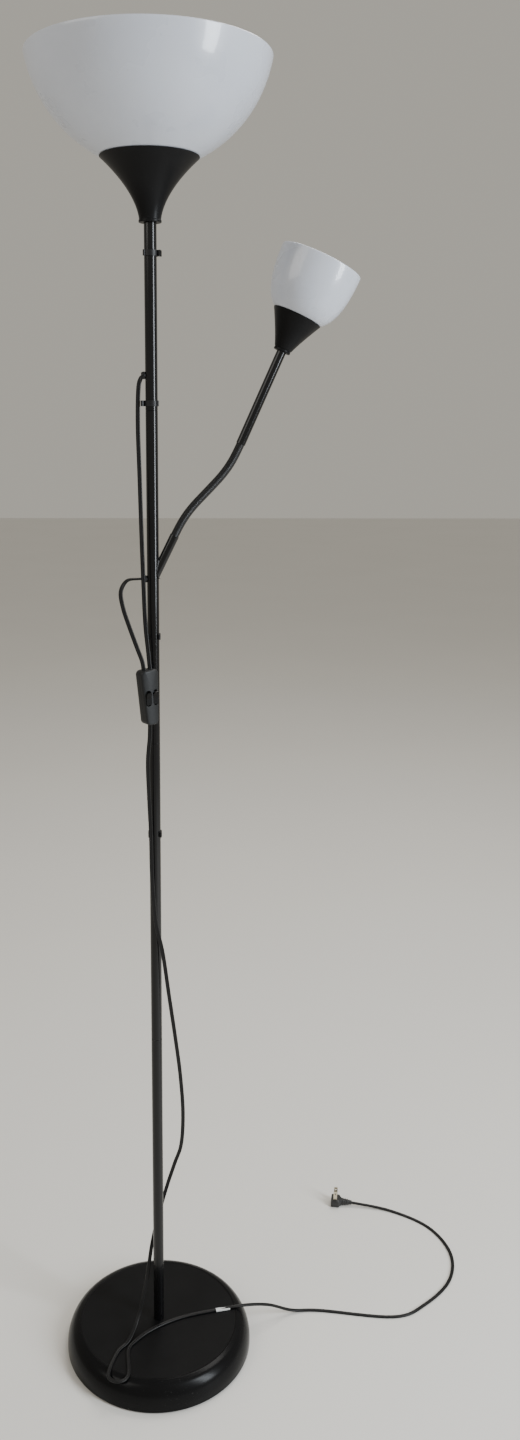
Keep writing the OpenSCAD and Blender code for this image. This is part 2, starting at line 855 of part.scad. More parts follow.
module on_plug() {
    translate([plug_pos[0], plug_pos[1], plug_d / 2]) rotate([0, 0, plug_turn]) children();
}

// A flat plug: a ribbed strain relief, a tapered neck and a square head with its blades upwards
module plug_body() {
    relief_r = 3.6;
    neck_r = 5.4;
    color(black) on_plug() difference() {
        union() {
            rotate([0, 90, 0]) cylinder(r1 = relief_r, r2 = neck_r, h = relief_l);
            for (x = [7, 11, 15]) translate([x, 0, 0]) rotate([0, 90, 0])
                cylinder(r = relief_r + 0.6 + (neck_r - relief_r) * x / relief_l, h = 2);
            linear_extrude(plug_d, center = true) polygon([
                [relief_l - 4, -neck_r], [relief_l + 4, -plug_w / 2], [relief_l + plug_l - 2, -plug_w / 2],
                [relief_l + plug_l, 2 - plug_w / 2], [relief_l + plug_l, plug_w / 2 - 2],
                [relief_l + plug_l - 2, plug_w / 2], [relief_l + 4, plug_w / 2], [relief_l - 4, neck_r]
            ]);
        }
        rotate([0, 90, 0]) translate([0, 0, -1]) cylinder(r = cord_r, h = 9);
        for (s = [-1, 1]) translate([relief_l + plug_l / 2 + 1 - blade_w / 2,
            s * blade_pitch / 2 - blade_t / 2, plug_d / 2 - blade_root])
            cube([blade_w, blade_t, blade_root + 1]);
    }
}

module plug_blades() {
    color(brass) on_plug() for (s = [-1, 1])
        translate([relief_l + plug_l / 2 + 1 - blade_w / 2, s * blade_pitch / 2 - blade_t / 2,
            plug_d / 2 - blade_root])
            difference() {
                cube([blade_w, blade_t, blade_root + blade_l]);
                translate([blade_w / 2, -1, blade_root + blade_l - 4.5]) rotate([-90, 0, 0])
                    cylinder(r = 1.5, h = blade_t + 2, $fn = 24);
            }
}

module wire_main() {
    color("#3a3a3a") tube(wire_main_route, wire_r);
}

module wire_reading() {
    up_arm = function (d) [d * sin(arm_tilt), 0, arm_root_z + d * cos(arm_tilt)];
    color("#3a3a3a") tube(
        [[-6.5, 0, bushing_reading_z], [-3, 0, bushing_reading_z + 0.4], [0.5, 0, arm_root_z + 5],
            up_arm(14), up_arm(30), up_arm(arm_lower_l - 14)],
        wire_r);
}

module wire_head() {
    color("#3a3a3a") on_head() translate([0, 0, spigot_l + 1])
        cylinder(r = wire_r, h = arm_upper_l - spigot_l - 4);
}

base_pad();
base_weight();
base_cover();
base_stud();
base_nut();
base_washer();
pole_foot();
pole_1();
pole_2();
pole_3();
pole_4();
pole_couplings();
pole_top_bush();
cord_clips();
bushing_main();
bushing_reading();
arm_tube_lower();
gooseneck_root();
for (k = [0:6]) gooseneck_link(k);
gooseneck_end();
arm_tube_upper();
cup_main();
nipple_main();
lampholder_main();
contact_main();
shade_ring_main();
shade_main();
bulb_main();
bulb_cap_main();
cup_reading();
nipple_reading();
lampholder_reading();
contact_reading();
shade_ring_reading();
shade_reading();
bulb_reading();
bulb_cap_reading();
switch_front();
switch_back();
rocker_main();
rocker_reading();
switch_contacts();
switch_screws();
cord_main();
cord_reading();
cord_mains();
cord_tag();
plug_body();
plug_blades();
wire_main();
wire_reading();
wire_head();
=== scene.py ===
# A torchiere floor lamp: weighted base, sectioned pole, white bowl shade, gooseneck reading lamp
# and a lead with a two-rocker switch. Metres; the origin is under the base's centre, +Z is up,
# +X is the reading lamp's side and -Y the front.
import json
from math import cos, pi, radians, sin, sqrt

import bpy
from mathutils import Matrix, Vector


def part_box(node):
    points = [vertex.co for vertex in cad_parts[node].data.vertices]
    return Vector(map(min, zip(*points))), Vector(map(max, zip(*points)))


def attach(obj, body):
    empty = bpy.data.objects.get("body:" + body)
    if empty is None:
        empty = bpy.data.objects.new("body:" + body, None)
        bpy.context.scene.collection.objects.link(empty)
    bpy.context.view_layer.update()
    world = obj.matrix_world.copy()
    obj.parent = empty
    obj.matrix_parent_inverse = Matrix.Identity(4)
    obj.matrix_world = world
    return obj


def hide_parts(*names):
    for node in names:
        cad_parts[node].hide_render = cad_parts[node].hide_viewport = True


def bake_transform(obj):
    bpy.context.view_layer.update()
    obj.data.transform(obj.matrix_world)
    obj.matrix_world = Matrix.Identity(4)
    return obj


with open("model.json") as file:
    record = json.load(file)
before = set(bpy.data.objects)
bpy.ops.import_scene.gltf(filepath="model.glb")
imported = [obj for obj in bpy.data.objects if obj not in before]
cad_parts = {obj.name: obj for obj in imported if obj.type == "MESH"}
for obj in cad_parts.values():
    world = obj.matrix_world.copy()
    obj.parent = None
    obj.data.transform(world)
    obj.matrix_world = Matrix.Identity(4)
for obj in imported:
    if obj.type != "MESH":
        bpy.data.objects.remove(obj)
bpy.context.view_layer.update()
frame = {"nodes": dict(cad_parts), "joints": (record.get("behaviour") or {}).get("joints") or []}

MM = 0.001


# ---- Room: a plain pale floor, a soft tall light at the right, and the camera ----
# The camera stands a metre and a half in front, just below the shade, looking slightly down.

class Socket:
    """A value inside a material. Arithmetic on it adds Math nodes, so shader maths reads as sums."""

    def __init__(self, source):
        self.source = source

    def math(self, operation, first, second=0.0):
        node = self.source.id_data.nodes.new("ShaderNodeMath")
        node.operation = operation
        join(first, node.inputs[0])
        join(second, node.inputs[1])
        return Socket(node.outputs[0])

    def __add__(self, other):
        return self.math("ADD", self, other)

    def __sub__(self, other):
        return self.math("SUBTRACT", self, other)

    def __rsub__(self, other):
        return self.math("SUBTRACT", other, self)

    def __mul__(self, other):
        return self.math("MULTIPLY", self, other)

    __radd__ = __add__
    __rmul__ = __mul__

    def wave(self):
        return self.math("SINE", self)


def join(value, socket):
    if isinstance(value, Socket):
        socket.id_data.links.new(value.source, socket)
    elif socket.type == "RGBA":
        socket.default_value = (*value, 1)
    else:
        socket.default_value = value


class Finish:
    """A material being made: node() adds one node, and paint() sets or links the shader's own sockets."""

    def __init__(self, name, **values):
        self.material = bpy.data.materials.new(name)
        self.material.use_nodes = True
        self.nodes = self.material.node_tree.nodes
        self.shader = self.nodes["Principled BSDF"]
        self.place = self.node("ShaderNodeTexCoord", output="Object")
        self.paint(**values)

    def node(self, kind, settings=None, inputs=None, output=0):
        node = self.nodes.new(kind)
        for name, value in (settings or {}).items():
            setattr(node, name, value)
        for name, value in (inputs or {}).items():
            join(value, node.inputs[name])
        return Socket(node.outputs[output])

    def paint(self, **values):
        for name, value in values.items():
            join(value, self.shader.inputs[name.replace("_", " ")])
        return self

    def part(self, axis):
        return self.node("ShaderNodeSeparateXYZ", None, {"Vector": self.place}, axis)

    def stretched(self, factors):
        inputs = {0: self.place, 1: factors}
        return self.node("ShaderNodeVectorMath", {"operation": "MULTIPLY"}, inputs)

    def noise(self, size, detail=3.0, stretch=None):
        """Soft mottling whose marks are about size metres across."""
        where = self.stretched(stretch) if stretch else self.place
        inputs = {"Vector": where, "Scale": 1 / size, "Detail": detail}
        return self.node("ShaderNodeTexNoise", None, inputs, "Fac")

    def grains(self, size):
        """Moulded grain: cells about size metres across, high in their middles."""
        inputs = {"Vector": self.place, "Scale": 1 / size}
        return 1 - self.node("ShaderNodeTexVoronoi", None, inputs, "Distance")

    def between(self, value, low, high):
        """0 below low, 1 above high."""
        inputs = {"Value": value, "From Min": low, "From Max": high}
        return self.node("ShaderNodeMapRange", {"clamp": True}, inputs)

    def mix(self, mask, first, second):
        inputs = {0: mask, 6: first, 7: second}
        return self.node("ShaderNodeMix", {"data_type": "RGBA"}, inputs, 2)

    def relief(self, height, depth, strength=1.0):
        """Bumps of that height map, depth metres deep."""
        inputs = {"Height": height, "Distance": depth, "Strength": strength}
        self.paint(Normal=self.node("ShaderNodeBump", None, inputs, "Normal"))
        return self


def mesh_object(name, points, faces, finish, crease=40):
    """A mesh with smooth shading that breaks at edges sharper than crease degrees."""
    mesh = bpy.data.meshes.new(name)
    mesh.from_pydata([tuple(p) for p in points], [], faces)
    mesh.update()
    mesh.shade_smooth()
    mesh.set_sharp_from_angle(angle=radians(crease))
    piece = bpy.data.objects.new(name, mesh)
    bpy.context.scene.collection.objects.link(piece)
    mesh.materials.append(finish.material)
    return piece


floor_half = 15.0
floor_finish = Finish("pale_floor", Roughness=0.55)
floor_tone = floor_finish.noise(0.7, 2)
floor_finish.paint(Base_Color=floor_finish.mix(floor_tone, (0.76, 0.74, 0.7), (0.8, 0.78, 0.74)))
floor_corners = [(-floor_half, -floor_half, 0), (floor_half, -floor_half, 0),
                 (floor_half, floor_half, 0), (-floor_half, floor_half, 0)]
mesh_object("floor", floor_corners, [(0, 1, 2, 3)], floor_finish)

world = bpy.context.scene.world or bpy.data.worlds.new("room")
bpy.context.scene.world = world
world.use_nodes = True
world.node_tree.nodes["Background"].inputs["Color"].default_value = (0.86, 0.82, 0.73, 1)
world.node_tree.nodes["Background"].inputs["Strength"].default_value = 0.5


def soft_light(name, at, aim, width, height, watts, tint):
    light = bpy.data.lights.new(name, "AREA")
    light.shape = "RECTANGLE"
    light.size = width
    light.size_y = height
    light.energy = watts
    light.color = tint
    lamp = bpy.data.objects.new(name, light)
    lamp.location = at
    lamp.rotation_euler = (Vector(aim) - Vector(at)).to_track_quat("-Z", "Y").to_euler()
    bpy.context.scene.collection.objects.link(lamp)


soft_light("window_light", (2.0, -1.3, 1.7), (0, 0, 1.1), 0.6, 2.0, 85, (0.88, 0.94, 1.0))
soft_light("room_light", (-2.0, -1.2, 2.6), (0, 0, 0.6), 1.6, 1.6, 22, (1.0, 0.97, 0.92))
soft_light("ceiling_light", (1.2, 1.4, 3.4), (0.2, 0.3, 0), 2.4, 1.0, 50, (1.0, 0.98, 0.95))

camera = bpy.data.objects.new("camera", bpy.data.cameras.new("camera"))
camera.data.sensor_width = 36
camera.data.lens = 28.83
camera.data.shift_x = 0.0278
camera.data.shift_y = -0.0139
camera.data.clip_start = 0.05
camera_turn = radians(-3.37)
camera_dip = radians(13.75)
camera_roll = radians(0.33)
camera.matrix_world = (
    Matrix.Translation((0, -1.5033, 1.3869))
    @ Matrix.Rotation(camera_turn, 4, "Z")
    @ Matrix.Rotation(pi / 2 - camera_dip, 4, "X")
    @ Matrix.Rotation(camera_roll, 4, "Z")
)
bpy.context.scene.collection.objects.link(camera)
bpy.context.scene.camera = camera


# ---- Base ----
# A cement disc sealed under a moulded black cover, on a thin foam pad. The cover's shoulder is
# glossy and its flat top is finely grained; a stud, washer and nut clamp it all to the pole's foot.

def arc(centre, rx, ry, start, end, steps):
    """Points on an ellipse's arc from start to end degrees."""
    angles = [radians(start + (end - start) * i / steps) for i in range(steps + 1)]
    return [(centre[0] + rx * cos(a), centre[1] + ry * sin(a)) for a in angles]


def turned(name, profile, finish, body, place=None, closed=False, around=128, crease=40):
    """A piece turned about its own Z axis from (radius, height) points, then set in place."""
    place = place or Matrix.Identity(4)
    points = []
    faces = []
    for r, z in profile:
        for k in range(around):
            a = 2 * pi * k / around
            points.append(place @ Vector((r * cos(a), r * sin(a), z)))
    rows = len(profile)
    for i in range(rows if closed else rows - 1):
        low = i * around
        high = (i + 1) % rows * around
        for k in range(around):
            after = (k + 1) % around
            faces.append((low + k, low + after, high + after, high + k))
    if not closed:
        faces.append(tuple(range(around - 1, -1, -1)))
        faces.append(tuple((rows - 1) * around + k for k in range(around)))
    piece = mesh_object(name, points, faces, finish, crease)
    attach(piece, body)
    return piece


base_low, base_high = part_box("base_cover")
base_r = base_high.x
base_top = base_high.z
base_step = 0.5 * MM
plateau_r = base_r - 22 * MM
skirt_z = 8 * MM

cover_finish = Finish("base_cover_black", IOR=1.5, Specular_IOR_Level=0.12)
cover_top = cover_finish.between(cover_finish.part("Z"), base_top - 0.8 * MM, base_top - 0.6 * MM)
cover_radius = cover_finish.node("ShaderNodeVectorMath", {"operation": "LENGTH"},
                                 {0: cover_finish.stretched((1, 1, 0))}, "Value")
cover_top = cover_top * (1 - cover_finish.between(cover_radius, plateau_r - 0.6 * MM, plateau_r))
cover_mottle = cover_finish.noise(0.045, 4)
cover_dust = cover_finish.between(cover_finish.noise(0.0022, 2), 0.66, 0.74)
cover_dust = cover_dust * cover_finish.between(cover_finish.noise(0.05, 2), 0.45, 0.7) * 0.35
cover_black = cover_finish.mix(cover_mottle, (0.003, 0.003, 0.0033), (0.006, 0.006, 0.0065))
cover_finish.paint(
    Base_Color=cover_finish.mix(cover_dust, cover_black, (0.05, 0.049, 0.047)),
    Roughness=0.19 + 0.1 * cover_mottle + cover_top * 0.16 + cover_dust * 0.5,
)
cover_finish.relief(cover_finish.grains(0.9 * MM) * (0.04 + cover_top) * 0.6
                    + cover_finish.noise(0.006, 2) * 0.05, 0.12 * MM, 0.6)

cover_profile = (
    [(base_r - 3 * MM, base_low.z), (base_r - 0.6 * MM, base_low.z), (base_r, base_low.z + 0.6 * MM)]
    + arc((plateau_r, skirt_z), base_r - plateau_r, base_top - skirt_z - 0.4 * MM, 0, 78, 22)
    + arc((plateau_r + 1.6 * MM, base_top - 2.1 * MM), 2.4 * MM, 2.1 * MM, 70, 110, 5)
    + [(plateau_r - 0.4 * MM, base_top - 0.2 * MM), (plateau_r - 0.8 * MM, base_top - base_step),
       (plateau_r - 3 * MM, base_top - base_step), (0.06, base_top - base_step),
       (0.03, base_top - base_step), (7 * MM, base_top - base_step)]
)
base_cover = turned("base_cover_shell", cover_profile, cover_finish, "stand",
                    around=192, crease=30)
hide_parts("base_cover")


def dress(finish, slot_name, *nodes):
    """Gives frame pieces whose own shape is right their finish."""
    for name in nodes:
        node = frame["nodes"][name]
        node.data.materials.clear()
        node.data.materials.append(finish.material)


foam = Finish("foam_pad", Roughness=0.95)
foam_cells = foam.grains(0.8 * MM)
foam.paint(Base_Color=foam.mix(foam_cells, (0.012, 0.012, 0.013), (0.035, 0.035, 0.037)))
foam.relief(foam_cells, 0.3 * MM)
dress(foam, "foam_pad", "base_pad")

cement = Finish("cement_weight", Roughness=0.9)
cement_tone = cement.noise(0.02, 6)
cement_pores = cement.between(cement.noise(0.003, 3), 0.62, 0.7)
cement.paint(Base_Color=cement.mix(cement_pores, cement.mix(cement_tone, (0.3, 0.29, 0.27),
                                                            (0.42, 0.41, 0.38)), (0.16, 0.155, 0.15)))
cement.relief(cement_tone - cement_pores * 0.8, 0.5 * MM)
dress(cement, "cast_weight", "base_weight")

zinc = Finish("zinc_plate", Metallic=1.0)
zinc_bloom = zinc.noise(0.004, 5)
zinc_thread = (zinc.part("Z") * (2 * pi / (1.0 * MM))).wave()
zinc.paint(Base_Color=zinc.mix(zinc_bloom, (0.48, 0.49, 0.5), (0.66, 0.67, 0.68)),
           Roughness=0.28 + 0.22 * zinc_bloom)
zinc.relief(zinc_thread * 0.5 + zinc_bloom * 0.3, 0.25 * MM, 0.6)
dress(zinc, "plated_steel", "base_stud", "base_nut", "base_washer", "pole_foot", "pole_couplings",
      "pole_top_bush", "nipple_main", "nipple_reading", "switch_screws")


# ---- Pole ----
# Four lengths of thin steel tube in gloss black paint, screwed end to end on inner couplings, with
# a hairline at each joint. Spring clips hold the leads and moulded bushings let them into the tube.

paint = Finish("gloss_black_paint", IOR=1.5, Specular_IOR_Level=0.28, Coat_Weight=0.12,
               Coat_Roughness=0.06)
paint_drift = paint.noise(0.05, 3, (1, 1, 0.25))
paint_dust = paint.between(paint.noise(0.0012, 2), 0.74, 0.8) * 0.08
paint.paint(
    Base_Color=paint.mix(paint_dust, paint.mix(paint_drift, (0.003, 0.003, 0.0035), (0.006, 0.006, 0.0065)),
                         (0.05, 0.05, 0.05)),
    Roughness=0.15 + 0.06 * paint_drift + 0.2 * paint_dust,
)
paint.relief(paint.noise(0.03, 2), 0.004 * MM, 0.3)

tube_edge = 0.35 * MM
tube_wall = 1.2 * MM
tube_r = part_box("pole_1")[1].x
for number in (1, 2, 3, 4):
    low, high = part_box(f"pole_{number}")
    tube_profile = [(tube_r - tube_wall, low.z), (tube_r - tube_edge, low.z), (tube_r, low.z + tube_edge),
                    (tube_r, high.z - tube_edge), (tube_r - tube_edge, high.z), (tube_r - tube_wall, high.z)]
    tube = turned(f"pole_tube_{number}", tube_profile, paint, "stand", around=96, crease=25)
    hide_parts(f"pole_{number}")

nylon = Finish("black_nylon", IOR=1.5, Specular_IOR_Level=0.3)
nylon_tone = nylon.noise(0.004, 4)
nylon.paint(Base_Color=nylon.mix(nylon_tone, (0.006, 0.006, 0.0065), (0.011, 0.011, 0.012)),
            Roughness=0.36 + 0.14 * nylon_tone)
nylon.relief(nylon.noise(0.6 * MM, 3), 0.03 * MM, 0.6)
dress(nylon, "small_black_plastic", "cord_clips", "bushing_main", "bushing_reading")


def soften(node_name, width):
    """A small round on a frame piece's moulded edges."""
    edge = frame["nodes"][node_name].modifiers.new("moulded_edges", "BEVEL")
    edge.width = width
    edge.segments = 2
    edge.limit_method = "ANGLE"
    edge.angle_limit = radians(50)


# ---- Reading arm ----
# A short tube welded to the pole, a wound steel gooseneck and a longer tube. The gooseneck is one
# flexible piece, drawn as one ribbed sleeve round each of the frame's pivots.

joints = {joint["name"]: joint for joint in frame["joints"]}
pivots = [Vector(joints[f"neck_{kind}_{n}"]["pos_m"]) for n in (1, 2, 3, 4) for kind in ("bend", "swing")]
arm_tilt = radians(26)
head_tilt = radians(24)
arm_way = Vector((sin(arm_tilt), 0, cos(arm_tilt)))
head_way = Vector((sin(head_tilt), 0, cos(head_tilt)))
ferrule_l = 9 * MM
neck_start = pivots[0] - arm_way * (ferrule_l + 4 * MM)
head_at = pivots[-1] + head_way * ferrule_l
neck_end = head_at + head_way * 4 * MM
neck_r = 5.45 * MM
rib_h = 0.32 * MM
rib_pitch = 1.45 * MM

dress(paint, "black_paint", "arm_tube_lower", "arm_tube_upper")

neck_finish = Finish("gooseneck_satin_black", IOR=1.5, Specular_IOR_Level=0.3)
neck_tone = neck_finish.noise(0.01, 4)
neck_rub = neck_finish.between(neck_finish.noise(0.002, 3), 0.6, 0.75)
neck_finish.paint(Base_Color=neck_finish.mix(neck_rub, (0.008, 0.008, 0.009), (0.022, 0.022, 0.024)),
                  Roughness=0.27 + 0.14 * neck_tone)
neck_finish.relief(neck_finish.noise(0.4 * MM, 2), 0.02 * MM, 0.5)


def curve_point(a, b, c, t):
    return a * (1 - t) ** 2 + b * 2 * t * (1 - t) + c * t ** 2


def curve_way(a, b, c, t):
    return ((b - a) * (1 - t) + (c - b) * t).normalized()


neck_stations = [neck_start] + [(a + b) / 2 for a, b in zip(pivots, pivots[1:])] + [neck_end]
neck_around = 32
bend_reach = 0.6
wound = 0.0
for number, pivot in enumerate(pivots):
    start, end = neck_stations[number], neck_stations[number + 1]
    rows = int((end - start).length / rib_pitch * 6)
    points = []
    faces = []
    before = start
    for i in range(rows + 1):
        middle = curve_point(start, pivot, end, i / rows)
        way = curve_way(start, pivot, end, i / rows)
        wound += (middle - before).length
        before = middle
        side = way.cross(Vector((0, 1, 0)))
        for k in range(neck_around):
            a = 2 * pi * k / neck_around
            r = neck_r - rib_h * (0.5 - 0.5 * cos(2 * pi * wound / rib_pitch - a)) ** 2
            points.append(middle + r * (cos(a) * side + sin(a) * Vector((0, 1, 0))))
    for i in range(rows):
        for k in range(neck_around):
            a, b = i * neck_around + k, i * neck_around + (k + 1) % neck_around
            faces.append((a, a + neck_around, b + neck_around, b))
    sleeve = mesh_object(f"gooseneck_sleeve_{number + 1}", points, faces, neck_finish, 80)
    pivot + (end - pivot) * bend_reach
    pivot - (pivot - start) * bend_reach
    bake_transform(sleeve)
    hidden = ["gooseneck_root"] if number == 0 else [f"gooseneck_{number}"]
    if number == len(pivots) - 1:
        hidden.append("gooseneck_end")
    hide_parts(*hidden)

weld_r = 1.3 * MM
arm_r = 6 * MM
arm_root = pivots[0] - arm_way * (ferrule_l + 65 * MM)
arm_frame = Matrix.Translation(arm_root) @ Matrix.Rotation(arm_tilt, 4, "Y")
weld_points = []
weld_faces = []
weld_rows = 72
weld_around = 10
for i in range(weld_rows):
    a = 2 * pi * i / weld_rows
    u, v = arm_r * cos(a), arm_r * sin(a)
    reach = (sqrt(tube_r ** 2 - v ** 2) - u * cos(arm_tilt)) / sin(arm_tilt)
    seam = arm_frame @ Vector((u, v, reach))
    away = (arm_frame.to_3x3() @ Vector((cos(a), sin(a), 0)))
    pole_out = Vector((seam.x, seam.y, 0)).normalized()
    bead = weld_r * (1 + 0.14 * sin(9 * a) + 0.08 * sin(17 * a + 1))
    for k in range(weld_around):
        b = 2 * pi * k / weld_around
        weld_points.append(seam + bead * (cos(b) * away + sin(b) * pole_out))
for i in range(weld_rows):
    for k in range(weld_around):
        j = (i + 1) % weld_rows
        after = (k + 1) % weld_around
        weld_faces.append((i * weld_around + k, i * weld_around + after,
                           j * weld_around + after, j * weld_around + k))
weld = mesh_object("arm_weld", weld_points, weld_faces, paint, 80)
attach(weld, "stand")


# ---- Cups, lampholders and rings ----
# A satin black trumpet cup sits on each tube's end, held by a threaded nipple. It hides a glazed
# lampholder, on which a grooved ring screws the shade down.

satin = Finish("satin_black_plastic", IOR=1.5, Specular_IOR_Level=0.1)
satin_tone = satin.noise(0.03, 4)
satin_dust = satin.between(satin.noise(0.0015, 2), 0.68, 0.76) * 0.25
satin.paint(
    Base_Color=satin.mix(satin_dust, satin.mix(satin_tone, (0.005, 0.005, 0.0055), (0.009, 0.009, 0.0095)),
                         (0.06, 0.06, 0.06)),
    Roughness=0.3 + 0.08 * satin_tone,
)
satin.relief(satin.grains(0.5 * MM), 0.02 * MM, 0.5)


def cup_profile(lip_r, rim_r, height, power, tube):
    """The outside of a trumpet cup, from its lip on the tube to its rim."""
    lip = 3 * MM
    flare = [(lip_r + (rim_r - lip_r) * (i / 40) ** power, height * i / 40) for i in range(41)]
    outside = [p for p in flare if lip + 0.6 * MM < p[1] < height - 0.8 * MM]
    return (
        [(tube, 0.3 * MM)]
        + arc((lip_r + 0.1 * MM, 0.8 * MM), 0.8 * MM, 0.8 * MM, -90, 0, 4)
        + arc((lip_r + 0.1 * MM, lip - 0.6 * MM), 0.8 * MM, 0.8 * MM, 0, 80, 4)
        + outside
        + [(rim_r - 0.3 * MM, height - 0.3 * MM), (rim_r - 0.9 * MM, height), (rim_r - 4 * MM, height)]
    )


cup_low, cup_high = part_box("cup_main")
main_cup_h = cup_high.z - cup_low.z
main_place = Matrix.Translation((0, 0, cup_low.z))
main_cup = turned("cup_main_shell", cup_profile(13.2 * MM, cup_high.x, main_cup_h, 1.75, tube_r),
                  satin, "stand", main_place)
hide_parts("cup_main")

small_cup_h = 46.5 * MM
arm_upper_l = 131 * MM
small_place = (Matrix.Translation(head_at + head_way * (arm_upper_l - 7 * MM))
               @ Matrix.Rotation(head_tilt, 4, "Y"))
small_cup = turned("cup_reading_shell", cup_profile(10 * MM, 32 * MM, small_cup_h, 1.15, 6 * MM),
                   satin, "reading_head", small_place)
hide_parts("cup_reading")

dress(satin, "satin_black_plastic", "shade_ring_main", "shade_ring_reading")
soften("shade_ring_main", 0.4 * MM)
soften("shade_ring_reading", 0.4 * MM)

glaze = Finish("lampholder_glaze", Roughness=0.22, Coat_Weight=0.5)
glaze_tone = glaze.noise(0.01, 4)
glaze.paint(Base_Color=glaze.mix(glaze_tone, (0.78, 0.76, 0.7), (0.84, 0.82, 0.77)))
glaze.relief(glaze.noise(0.003, 3), 0.05 * MM, 0.5)
dress(glaze, "lampholder_ceramic", "lampholder_main", "lampholder_reading")

brass = Finish("contact_brass", Metallic=1.0)
brass_tone = brass.noise(0.002, 4)
brass.paint(Base_Color=brass.mix(brass_tone, (0.6, 0.43, 0.18), (0.76, 0.6, 0.3)),
            Roughness=0.24 + 0.2 * brass_tone)
brass.relief(brass_tone, 0.03 * MM, 0.5)
dress(brass, "contact_brass", "contact_main", "contact_reading", "switch_contacts")


# ---- Bulbs ----
# Frosted glass globes on rolled metal screw caps, standing in the lampholders inside the shades.
# Their necks widen smoothly from the cap into the globe.

frost = Finish("frosted_glass", IOR=1.45, Subsurface_Weight=0.35, Subsurface_Scale=0.01)
frost_tone = frost.noise(0.012, 4)
frost.paint(Base_Color=frost.mix(frost_tone, (0.84, 0.83, 0.8), (0.9, 0.89, 0.87)),
            Roughness=0.3 + 0.12 * frost_tone)
frost.relief(frost.noise(0.5 * MM, 2), 0.01 * MM, 0.4)

cap_metal = Finish("bulb_cap_metal", Metallic=1.0)
cap_tone = cap_metal.noise(0.003, 4)
cap_metal.paint(Base_Color=cap_metal.mix(cap_tone, (0.66, 0.66, 0.65), (0.8, 0.8, 0.79)),
                Roughness=0.22 + 0.18 * cap_tone)
cap_metal.relief(cap_tone, 0.03 * MM, 0.5)

cap_l = 25 * MM
cap_r = 13.1 * MM


def bulb(label, place, globe_r, body_h, body):
    """A bulb whose screw cap starts at the place's origin."""
    globe_z = cap_l + body_h + globe_r * 0.5
    shoulder = -32
    throat_r = globe_r * cos(radians(shoulder))
    throat_z = globe_z + globe_r * sin(radians(shoulder))
    neck = []
    for i in range(13):
        t = i / 12
        ease = t * t * (3 - 2 * t)
        neck.append((cap_r - 0.4 * MM + (throat_r - cap_r) * ease,
                     cap_l + (throat_z - cap_l) * t))
    profile = neck + arc((0, globe_z), globe_r, globe_r, shoulder + 4, 89.5, 40)
    glass = turned(f"bulb_{label}_glass", profile, frost, body, place, around=96, crease=60)
    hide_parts(f"bulb_{label}")
    thread = [(cap_r - 0.55 * MM * (0.5 - 0.5 * cos(2 * pi * i / 8)), 7 * MM + 14 * MM * i / 32)
              for i in range(33)]
    cap_profile = ([(2 * MM, 0), (4.6 * MM, 0.4 * MM), (8 * MM, 3 * MM), (cap_r - 1.6 * MM, 4.4 * MM)]
                   + thread + [(cap_r, 22.5 * MM), (cap_r, cap_l), (cap_r - 1 * MM, cap_l + 0.2 * MM)])
    cap = turned(f"bulb_{label}_cap", cap_profile, cap_metal, body, place, around=64)
    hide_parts(f"bulb_cap_{label}")


ring_h = 6 * MM
shade_wall = 2.4 * MM
socket_top = shade_wall + ring_h + 2 * MM
bulb("main", main_place @ Matrix.Translation((0, 0, main_cup_h + socket_top - cap_l)), 30 * MM, 26 * MM,
     "stand")
bulb("reading", small_place @ Matrix.Translation((0, 0, small_cup_h + socket_top - cap_l)),
     22.5 * MM, 18 * MM, "reading_head")


# ---- Shades ----
# Two open shades in milk-white plastic that lets some light through, glossy outside and with a
# rounded rim. Each stands on its cup's rim and is held by the ring inside.

milk = Finish("milk_white_plastic", IOR=1.5, Subsurface_Weight=0.2, Subsurface_Scale=0.008,
              Subsurface_Radius=(1.0, 0.95, 0.9), Coat_Weight=0.5, Coat_Roughness=0.06)
milk_cloud = milk.noise(0.06, 3)
milk_specks = milk.between(milk.noise(0.0012, 2), 0.74, 0.8) * 0.06
milk.paint(
    Base_Color=milk.mix(milk_specks, milk.mix(milk_cloud, (0.5, 0.53, 0.6), (0.55, 0.58, 0.645)),
                        (0.35, 0.34, 0.32)),
    Roughness=0.24 + 0.08 * milk_cloud,
)
milk.relief(milk.noise(0.03, 2), 0.08 * MM, 0.3)


def swept(a, b, c, steps):
    """Points on a curve from a to c that bends towards b."""
    spots = [i / steps for i in range(steps + 1)]
    return [((1 - t) ** 2 * a[0] + 2 * t * (1 - t) * b[0] + t * t * c[0],
             (1 - t) ** 2 * a[1] + 2 * t * (1 - t) * b[1] + t * t * c[1]) for t in spots]


def shade(label, place, foot_r, rim_r, height, knee, body):
    hole_r = 16.9 * MM
    rim = height - shade_wall / 2
    inner_knee = (knee[0] - 0.8 * shade_wall, knee[1] + 1.1 * shade_wall)
    profile = (
        [(hole_r, 0)]
        + swept((foot_r, 0), knee, (rim_r, rim), 44)
        + arc((rim_r - shade_wall / 2, rim), shade_wall / 2, shade_wall / 2, 15, 165, 10)
        + swept((rim_r - shade_wall, rim), inner_knee, (foot_r - 1.2 * MM, shade_wall), 44)
        + [(hole_r, shade_wall)]
    )
    piece = turned(f"shade_{label}_bowl", profile, milk, body, place, True, 192, 50)
    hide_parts(f"shade_{label}")


main_shade_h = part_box("shade_main")[1].z - cup_high.z
main_shade_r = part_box("shade_main")[1].x
shade("main", main_place @ Matrix.Translation((0, 0, main_cup_h)), cup_high.x - 1.2 * MM, main_shade_r,
      main_shade_h, (main_shade_r - 15 * MM, main_shade_h / 3), "stand")
small_shade_r = 52.7 * MM
shade("reading", small_place @ Matrix.Translation((0, 0, small_cup_h)), 31 * MM, small_shade_r,
      72 * MM, (small_shade_r, 14.4 * MM), "reading_head")


